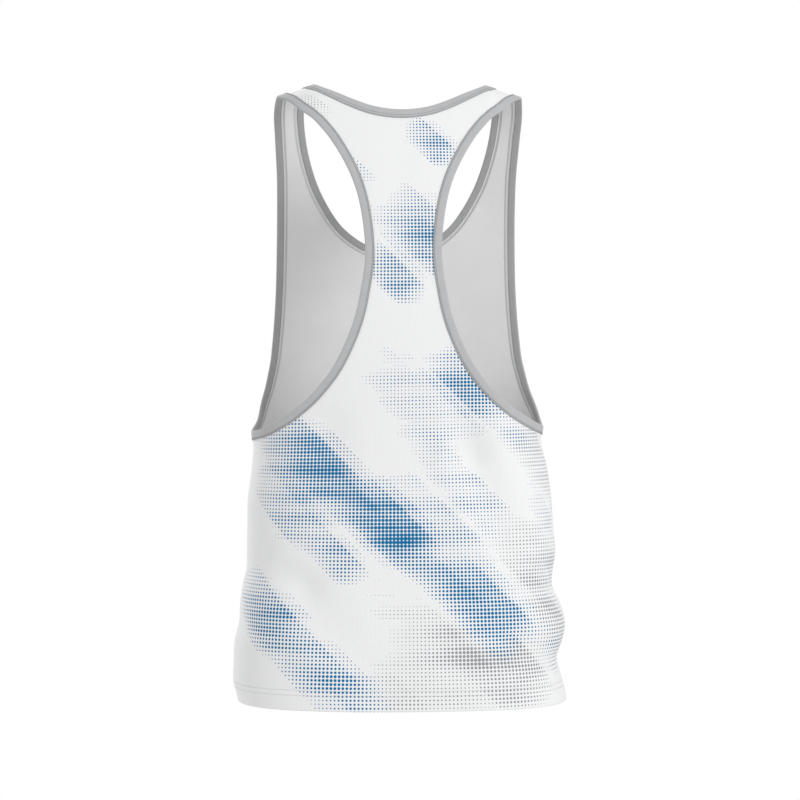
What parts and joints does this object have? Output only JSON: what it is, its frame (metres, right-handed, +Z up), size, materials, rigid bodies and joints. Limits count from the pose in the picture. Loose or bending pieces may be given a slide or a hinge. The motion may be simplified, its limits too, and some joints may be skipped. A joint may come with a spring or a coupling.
{
  "type": "racerback boxing vest",
  "caption": "Hollow racerback boxing vest, filled out as worn: printed front and back panels, with bound neck and deep bound armholes.",
  "frame": {"origin": "where the wearer's shoulders carry the vest: midway between the undersides of its two straps, at the top of the shoulders", "axes": "+Z up, -Y towards the front, +X towards the wearer's left"},
  "size_m": [0.3716, 0.24, 0.6828],
  "materials": {
    "jersey": "light knitted sports jersey, printed outside and plain inside",
    "binding_knit": "grey rib knit, folded double"
  },
  "bodies": {
    "root": {"back_panel": "jersey", "front_panel": "jersey", "neck_binding": "binding_knit", "armhole_binding_left": "binding_knit", "armhole_binding_right": "binding_knit"}
  },
  "joints": []
}
